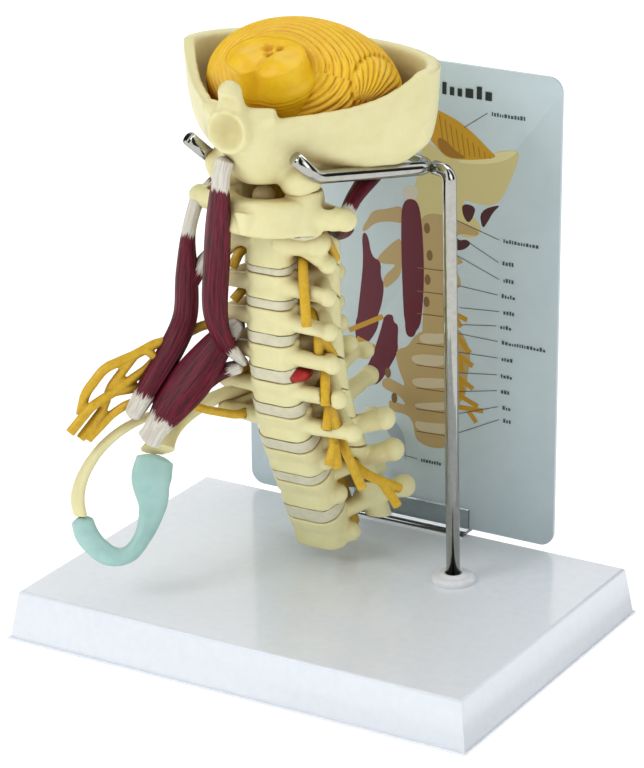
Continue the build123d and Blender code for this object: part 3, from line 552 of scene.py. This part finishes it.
# merged copy of a CAD node's mesh, in the frame
def copyOf(node):
    source = frame["nodes"][node]
    mesh = source.data.copy()
    mesh.transform(source.matrix_world)
    faceOut(mesh, weld=1e-6)
    obj = bpy.data.objects.new(node + "_form", mesh)
    bpy.context.scene.collection.objects.link(obj)
    return obj


# axis and inner radius of the bowl, the share by which its wall moves out at each height, and the dish in front
bowlShape = dict(
    axis=(midX, -8.0), inner=20.0, blend=12.0, frontHalf=10.0,
    heights=[221.0, 226.0, 234.0, 244.0, 256.0, 266.0], shares=[0.03, 0.09, 0.14, 0.085, 0.03, 0.0],
    dishZ=249.5, dishHalf=9.5, dishFront=-54.0, dishDepth=3.0)


# fuller lower wall: points past the inner radius move out from the bowl's axis by a share that depends on height;
# points on the dish move back by depth * (1 - (distance from its middle / half width) ^ 2)
def fuller(mesh, shape):
    points = np.empty(len(mesh.vertices) * 3)
    mesh.vertices.foreach_get("co", points)
    points = points.reshape(-1, 3) / mm
    away = points[:, :2] - np.array(shape["axis"])
    outside = np.clip((np.hypot(away[:, 0], away[:, 1]) - shape["inner"]) / shape["blend"], 0, 1)
    beside = np.clip((np.abs(away[:, 0]) - shape["frontHalf"]) / shape["blend"], 0, 1)
    beside = np.where(away[:, 1] < 0, beside, 1.0)
    share = np.interp(points[:, 2], shape["heights"], shape["shares"]) * outside * beside
    points[:, :2] += away * share[:, None]
    fromDish = np.hypot(points[:, 0] - shape["axis"][0], points[:, 2] - shape["dishZ"]) / shape["dishHalf"]
    onDish = (fromDish < 1) & (points[:, 1] < shape["dishFront"])
    points[:, 1] += np.where(onDish, shape["dishDepth"] * (1 - fromDish ** 2), 0.0)
    mesh.vertices.foreach_set("co", (points * mm).ravel())
    mesh.update()


# voxel size, smoothing steps and relief height of the nodes whose names start like this
organicSizes = {
    "skull_base": dict(voxel=0.8, smooth=24, relief=0.3), "vertebra": dict(voxel=0.62, smooth=8, relief=0.3),
    "rib": dict(voxel=0.5, smooth=6, relief=0.25), "nerve": dict(voxel=0.36, smooth=3, relief=0.12),
    "brachial_plexus": dict(voxel=0.5, smooth=3, relief=0.15), "disc": dict(voxel=0.4, smooth=8, relief=0.12),
    "joint_pad": dict(voxel=0.4, smooth=5, relief=0.12), "spinal_cord": dict(voxel=0.7, smooth=3, relief=0.12),
}
reliefClouds = dict(scale=4.5, depth=2, level=0.75)


# soft relief all over: the copy is remade on a fine grid, smoothed, then lowered by a cloud noise
def organic(node, sizes):
    obj = copyOf(node)
    if node == "skull_base":
        fuller(obj.data, bowlShape)
    remake = obj.modifiers.new("remake", "REMESH")
    remake.mode = "VOXEL"
    remake.voxel_size = sizes["voxel"] * mm
    remake.use_smooth_shade = True
    ease = obj.modifiers.new("ease", "SMOOTH")
    ease.factor = 0.5
    ease.iterations = sizes["smooth"]
    clouds = bpy.data.textures.new(node, "CLOUDS")
    clouds.noise_scale = reliefClouds["scale"] * mm
    clouds.noise_depth = reliefClouds["depth"]
    relief = obj.modifiers.new("relief", "DISPLACE")
    relief.texture = clouds
    relief.texture_coords = "LOCAL"
    relief.mid_level = reliefClouds["level"]
    relief.strength = sizes["relief"] * mm
    declare(obj, [node])


for node in frame["nodes"]:
    for start, sizes in organicSizes.items():
        if node.startswith(start):
            organic(node, sizes)
            break
print("bones, discs and nerves built")

# width of the rounded edges of the moulded and turned pieces; the chrome rods have none
edgeWidths = dict(base_tray=0.35, post_collar=0.3, post_nut=0.2, post_washer=0.15, card_holder=0.2, key_card=0.15,
                  cradle_fork=0.0, stand_post=0.0)
edgeShape = dict(shadingAngle=32, bevelAngle=40, segments=3)


# copy with crisp but slightly rounded edges: a bevel on every edge sharper than the bevel angle
def crisp(node, width):
    obj = copyOf(node)
    obj.data.shade_smooth()
    obj.data.set_sharp_from_angle(angle=radians(edgeShape["shadingAngle"]))
    if width:
        bevel = obj.modifiers.new("edges", "BEVEL")
        bevel.width = width * mm
        bevel.segments = edgeShape["segments"]
        bevel.limit_method = "ANGLE"
        bevel.angle_limit = radians(edgeShape["bevelAngle"])
        bevel.harden_normals = True
    declare(obj, [node])


for node, width in edgeWidths.items():
    crisp(node, width)
print("stand built")

# print on the card: outlines as (x, z) in mm on its front face, drawn in this order
printTones = dict(
    bowl="#cfc48a", rim="#e0d8a0", brain="#c8981a", brainDark="#9c6d17", bone="#b89f6e", dark="#43121e",
    tendon="#cfc9bb", muscle="#5e0d28", disc="#cdc0a2", boneDark="#7a5d33", nerve="#bf8f1a", rib="#a3b1c0",
    ink="#3a484d", title="#1c2527")
printShapes = [
    ("bowl", [
        (7.4, 212.7), (11.2, 211.1), (15.0, 207.8), (22.4, 205.8), (33.6, 206.3), (42.7, 209.8), (42.7, 213.2),
        (55.4, 215.4), (54.6, 209.9), (51.5, 201.8), (46.7, 190.8), (41.2, 186.5), (31.9, 186.8), (26.3, 187.7),
        (28.3, 181.9), (35.8, 177.9), (35.9, 171.9), (28.4, 169.0), (22.8, 171.5), (15.2, 174.7), (3.9, 174.6),
        (-1.8, 179.0), (-1.9, 187.7), (2.8, 191.8), (2.8, 203.9)]),
    ("rim", [
        (40.9, 209.5), (42.9, 212.7), (55.2, 215.2), (50.0, 210.4), (42.7, 207.4), (33.6, 205.4), (22.4, 204.9),
        (28.0, 207.3)]),
    ("brain", [
        (9.2, 228.7), (11.7, 228.7), (18.5, 226.7), (26.0, 223.5), (33.4, 218.6), (39.9, 213.2), (43.8, 210.6),
        (40.0, 209.0), (29.8, 206.9), (19.6, 206.0), (14.9, 208.3), (11.2, 212.0), (7.4, 215.7), (7.3, 225.9)]),
    ("brainDark", [(13.5, 210.2), (18.7, 206.4), (29.8, 207.4), (22.4, 210.2), (17.7, 214.6), (13.0, 215.7)]),
    ("dark", [(25.9, 185.9), (33.5, 185.5), (32.0, 179.9), (29.5, 176.5), (26.6, 180.0)]),
    ("dark", [(35.0, 183.8), (46.7, 188.7), (42.2, 184.1), (39.3, 178.5), (36.7, 174.8)]),
    ("dark", [(21.4, 171.3), (24.7, 167.5), (28.4, 169.0), (31.3, 167.3), (27.6, 163.6), (22.5, 162.4)]),
    ("bone", [
        (3.9, 175.5), (11.4, 179.3), (22.7, 177.6), (34.9, 174.3), (34.9, 170.9), (22.8, 171.5), (22.9, 161.1),
        (27.6, 157.5), (24.8, 156.2), (22.9, 155.0), (26.8, 146.0), (23.1, 143.6), (24.6, 136.0), (23.3, 122.6),
        (25.3, 113.0), (23.5, 105.6), (5.3, 102.2), (5.7, 120.2), (6.9, 143.6), (4.0, 160.7)]),
    ("bone", [
        (-22.9, 171.3), (-21.0, 175.1), (-12.3, 177.3), (-4.7, 180.3), (-4.6, 171.5), (-6.6, 171.2),
        (-12.3, 171.2), (-20.0, 169.1), (-23.8, 165.0), (-26.3, 163.7), (-26.3, 165.9)]),
    ("bone", [
        (-18.5, 152.6), (-9.4, 162.0), (-5.1, 164.5), (-5.0, 146.9), (-9.3, 141.7), (-14.6, 137.2),
        (-15.6, 143.3), (-7.4, 150.9), (-13.2, 149.9), (-17.6, 150.1)]),
    ("muscle", [
        (-26.8, 163.6), (-23.4, 163.3), (-21.4, 152.1), (-16.3, 151.2), (-16.6, 143.1), (-14.6, 139.9),
        (-15.6, 130.8), (-18.0, 123.3), (-21.9, 114.7), (-30.2, 113.2), (-27.3, 136.0), (-25.8, 150.5)]),
    ("tendon", [(-4.7, 189.8), (3.3, 190.6), (3.1, 184.1), (-5.2, 182.4)]),
    ("muscle", [
        (-5.2, 182.8), (2.9, 184.5), (5.3, 174.0), (6.7, 152.3), (6.2, 132.8), (4.2, 119.3), (-3.5, 117.9),
        (-5.0, 141.5), (-5.8, 167.9)]),
    ("muscle", [(-3.4, 128.9), (5.0, 130.4), (3.2, 121.0), (1.2, 115.9), (-3.3, 116.4)]),
    ("muscle", [
        (-29.4, 124.4), (-17.8, 126.4), (-17.3, 118.9), (-21.9, 110.4), (-26.9, 107.2), (-30.7, 110.4)]),
    ("muscle", [
        (-14.5, 124.7), (-9.9, 125.9), (-9.5, 121.8), (-6.9, 121.1), (-7.4, 113.0), (-7.0, 107.7),
        (-11.9, 98.4), (-17.7, 88.8), (-23.6, 88.5), (-28.6, 89.9), (-21.9, 100.4), (-17.8, 112.7),
        (-16.1, 118.3)]),
    ("bone", [
        (-2.1, 110.9), (1.2, 116.1), (4.8, 119.8), (14.2, 122.9), (23.8, 126.1), (29.5, 119.6), (31.7, 110.1),
        (29.7, 102.2), (29.8, 93.8), (24.3, 85.1), (23.2, 72.6), (23.2, 65.6), (14.7, 62.8), (8.1, 62.7),
        (2.3, 65.4), (1.4, 73.0), (-1.9, 77.0), (-11.1, 76.9), (-12.3, 81.3), (-11.1, 82.7), (-1.9, 80.9),
        (-6.1, 85.6), (-13.6, 87.3), (-16.5, 89.8), (-13.6, 94.2), (-6.1, 91.7), (-2.8, 90.8), (-7.0, 99.3),
        (-8.6, 106.7), (-6.2, 109.4)]),
    ("rib", [
        (-16.5, 77.4), (-11.0, 74.5), (-5.2, 68.6), (-2.7, 62.9), (-2.6, 51.2), (-4.3, 59.4), (-11.9, 64.2),
        (-13.5, 68.6), (-12.7, 73.4)]),
    ("disc", [
        (-0.4, 106.6), (6.1, 108.9), (15.9, 109.6), (22.4, 110.7), (22.4, 108.1), (14.3, 103.9), (7.8, 103.1),
        (1.2, 103.5)]),
    ("disc", [(-0.4, 95.1), (7.8, 97.4), (22.5, 99.0), (22.5, 95.5), (11.1, 92.5), (2.1, 91.7)]),
    ("disc", [(4.4, 118.9), (14.2, 120.3), (22.3, 122.1), (22.7, 118.4), (14.2, 115.0), (4.5, 114.0)]),
    ("disc", [(1.4, 83.1), (11.2, 85.3), (23.0, 88.0), (23.1, 84.1), (11.2, 81.5), (3.0, 81.1)]),
    ("disc", [(1.8, 74.7), (8.0, 74.7), (23.1, 76.8), (23.2, 71.8), (11.3, 69.7), (3.1, 70.2)]),
]
# bars of the printed nerves: start and end
printNerves = [
    (22.6, 131.9, 29.4, 129.7), (23.0, 130.5, 26.3, 125.8), (23.5, 121.5, 31.2, 113.8),
    (24.0, 111.8, 32.7, 107.7), (25.6, 111.3, 26.9, 104.0), (24.1, 101.2, 33.0, 96.3), (26.5, 99.3, 27.4, 93.0),
    (24.2, 92.4, 35.6, 88.0), (24.3, 85.9, 38.4, 86.3), (30.8, 84.8, 34.9, 79.9), (-33.6, 113.7, -15.3, 123.8),
    (-29.4, 110.6, -19.4, 107.4),
]
# leader lines and the marks beside each: start, end, end of the marks
printLabels = [
    (26.9, 221.9, 38.7, 230.3, 57.8), (20.4, 178.1, 45.6, 171.3, 65.4), (29.4, 167.8, 45.3, 160.5, 52.7),
    (21.9, 161.0, 45.9, 152.3, 53.3), (23.5, 145.9, 45.1, 144.7, 53.0), (25.5, 135.2, 46.1, 136.8, 53.6),
    (27.0, 127.1, 44.6, 129.6, 52.1), (24.7, 122.4, 45.5, 122.1, 70.0), (23.6, 113.2, 45.6, 114.0, 52.8),
    (23.7, 102.8, 45.4, 105.7, 52.5), (24.2, 93.4, 45.5, 97.9, 51.8), (24.3, 82.2, 46.4, 90.1, 52.0),
    (24.4, 72.4, 46.9, 83.7, 52.1), (-2.7, 55.9, 3.6, 55.5, 16.4),
]
printLines = dict(
    front=81.8, lift=0.02, layer=0.002, furrows=10, furrowFirst=(14.0, 226.0, 17.0, 208.2),
    furrowStep=(2.9, -1.75, 2.6, 0.1), furrowWide=0.45,
    joints=(102.8, 91.3, 113.6, 80.7, 69.4, 128.5, 139.5, 151.0), jointEnds=(3.0, 22.5), jointRise=1.0,
    jointWide=0.5, holes=((8.0, 171.0), (9.5, 158.0), (8.5, 146.0), (-12.5, 96.0), (-9.0, 84.0), (8.0, 135.0)),
    holeHalf=(1.6, 2.6), nerveWide=2.4, leaderWide=0.3, markGap=2.2, markTall=2.0,
    title=(15.6, 239.4, 38.5, 6.4))
markSizes = dict(wide=0.3, widerBy=0.35, high=0.55, higherBy=0.45, gap=0.28)  # shares of the row's height
inkFinish = dict(grain=400, amount=0.3, rough=0.4, bump=0.03)


# corner points of a slim bar from one point to another
def barOutline(x0, z0, x1, z1, width):
    run = np.array([x1 - x0, z1 - z0], float)
    across = np.array([-run[1], run[0]]) / np.hypot(*run) * width / 2
    start, end = np.array([x0, z0]), np.array([x1, z1])
    return np.array([start + across, start - across, end - across, end + across])


# points of an ellipse: centre + (half width cos, half height sin)
def ovalOutline(x, z, halfWide, halfHigh, count=26):
    a = roundAngles(count)
    return np.stack([x + halfWide * np.cos(a), z + halfHigh * np.sin(a)], 1)


# rounds a corner outline by two rounds of corner cutting
def rounded(outline):
    points = np.asarray(outline, float)
    for _ in range(2):
        following = np.roll(points, -1, axis=0)
        points = np.stack([points * 0.75 + following * 0.25, points * 0.25 + following * 0.75], 1).reshape(-1, 2)
    return points


# small upright marks in a row: widths and heights change at random from mark to mark
def markRow(colour, x, z, end, tall):
    marks = []
    while x < end:
        wide = tall * (markSizes["wide"] + markSizes["widerBy"] * random.random())
        high = tall * (markSizes["high"] + markSizes["higherBy"] * random.random())
        middle = z - tall / 2 + high / 2
        marks.append((colour, barOutline(x, middle, x + wide, middle, high)))
        x += wide + tall * markSizes["gap"]
    return marks


# colour and outline of every patch of the print, from the back one to the front one
def printPatches(lines):
    patches = [(colour, rounded(outline)) for colour, outline in printShapes]
    for i in range(lines["furrows"]):
        ends = np.array(lines["furrowFirst"]) + i * np.array(lines["furrowStep"])
        patches.append(("brainDark", barOutline(*ends, lines["furrowWide"])))
    (left, right), rise = lines["jointEnds"], lines["jointRise"]
    patches += [("boneDark", barOutline(left, z, right, z + rise, lines["jointWide"])) for z in lines["joints"]]
    patches += [("boneDark", ovalOutline(*hole, *lines["holeHalf"])) for hole in lines["holes"]]
    patches += [("nerve", barOutline(*ends, lines["nerveWide"])) for ends in printNerves]
    for x0, z0, x1, z1, end in printLabels:
        patches.append(("ink", barOutline(x0, z0, x1, z1, lines["leaderWide"])))
        patches += markRow("ink", x1 + lines["markGap"], z1, end, lines["markTall"])
    return patches + markRow("title", *lines["title"])


# every patch of one colour in one mesh; each later patch lies a hair further forward
def printCard(lines):
    patches = printPatches(lines)
    for colour, code in printTones.items():
        points, faces = [], []
        for order, (tint, outline) in enumerate(patches):
            if tint == colour:
                start = sum(len(block) for block in points)
                depth = np.full(len(outline), lines["front"] - lines["lift"] - lines["layer"] * order)
                points.append(np.stack([outline[:, 0], depth, outline[:, 1]], 1))
                faces.append(list(range(start, start + len(outline))))
        obj = meshObject("card_print_" + colour, np.vstack(points), faces, smooth=False)
        obj.data.materials.append(surface("print_" + colour, dict(inkFinish, base=code, tint=code)))
        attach(obj, "root")


printCard(printLines)
print("card print built")

# stage: pale floor, white surround for the camera, soft lights and grey bands that the chrome mirrors
surroundLook = dict(plain=0.45, bands=-5.0, bandSpan=(-0.15, 0.7), bandStrengths=(0.03, 1.3))
floorLook = dict(half=6000.0, height=-0.2, grey=0.35, rough=0.9, shine=0.1, glow=0.92)
lamps = dict(key=dict(place=(-0.9, -1.5, 1.5), size=1.1, power=15.0),
             fill=dict(place=(1.6, -0.8, 0.9), size=1.2, power=4.5),
             top=dict(place=(0.1, 0.5, 1.8), size=1.2, power=7.0))  # metres and watts
lampTarget = (0.0, 0.0, 0.14)
# angles in degrees, place in metres, focal length in pixels of a picture that is pixelsHigh high
cameraFit = dict(azimuth=30.53, elevation=20.60, roll=-0.317, place=(0.7043, -1.1951, 0.6408), pixelsHigh=768,
                 focal=3305.9, sensorHigh=36)


# soft round light at a place, aimed at the middle of the model
def softLight(name, lamp):
    light = bpy.data.lights.new(name, "AREA")
    light.shape = "DISK"
    light.size = lamp["size"]
    light.energy = lamp["power"]
    obj = bpy.data.objects.new(name, light)
    bpy.context.scene.collection.objects.link(obj)
    obj.location = lamp["place"]
    obj.rotation_euler = (Vector(lampTarget) - Vector(lamp["place"])).to_track_quat("-Z", "Y").to_euler()


# camera rays see plain white; mirrored rays see bands, strength from sin(bands * bearing); the rest a dimmer white
def buildSurround(look):
    world = bpy.data.worlds.new("surround")
    bpy.context.scene.world = world
    world.use_nodes = True
    tree = world.node_tree
    tree.nodes.clear()
    rays = put(tree, "ShaderNodeLightPath").outputs
    way = put(tree, "ShaderNodeSeparateXYZ", {0: put(tree, "ShaderNodeTexCoord").outputs["Generated"]}).outputs
    bearing = maths(tree, "ARCTAN2", way[1], way[0])
    wave = maths(tree, "SINE", maths(tree, "MULTIPLY", bearing, look["bands"]))
    mirrored = spread(tree, wave, *look["bandSpan"], *look["bandStrengths"])
    plain = spread(tree, rays["Is Glossy Ray"], 0.0, 1.0, look["plain"], mirrored)
    strength = spread(tree, rays["Is Camera Ray"], 0.0, 1.0, plain, 1.0)
    shader = put(tree, "ShaderNodeBackground", {"Color": (1, 1, 1, 1), "Strength": strength})
    put(tree, "ShaderNodeOutputWorld", {0: shader.outputs[0]})


# wide floor that looks white from far and takes a soft shadow near the base
def buildFloor(look):
    half, height = look["half"], look["height"]
    corners = [(-half, -half, height), (half, -half, height), (half, half, height), (-half, half, height)]
    floor = meshObject("floor", corners, [[0, 1, 2, 3]], smooth=False)
    material = bpy.data.materials.new("floor")
    material.use_nodes = True
    shader = material.node_tree.nodes["Principled BSDF"].inputs
    shader["Base Color"].default_value = (look["grey"], look["grey"], look["grey"], 1)
    shader["Roughness"].default_value = look["rough"]
    shader["Specular IOR Level"].default_value = look["shine"]
    shader["Emission Color"].default_value = (1, 1, 1, 1)
    shader["Emission Strength"].default_value = look["glow"]
    floor.data.materials.append(material)


# camera axes: turned by azimuth about Z, tipped by elevation, rolled about its own view line
def buildCamera(fit):
    camera = bpy.data.cameras.new("camera")
    camera.sensor_fit = "VERTICAL"
    camera.sensor_height = fit["sensorHigh"]
    camera.lens = fit["focal"] / fit["pixelsHigh"] * fit["sensorHigh"]
    camera.clip_start = 0.05
    camera.clip_end = 50
    obj = bpy.data.objects.new("camera", camera)
    bpy.context.scene.collection.objects.link(obj)
    turn = (Matrix.Rotation(radians(fit["azimuth"]), 4, "Z")
            @ Matrix.Rotation(radians(90 - fit["elevation"]), 4, "X")
            @ Matrix.Rotation(radians(fit["roll"]), 4, "Z"))
    obj.matrix_world = Matrix.Translation(fit["place"]) @ turn
    bpy.context.scene.camera = obj


buildSurround(surroundLook)
buildFloor(floorLook)
buildCamera(cameraFit)
for name, lamp in lamps.items():
    softLight(name, lamp)
bpy.context.scene.view_settings.view_transform = "Standard"
print("stage built")
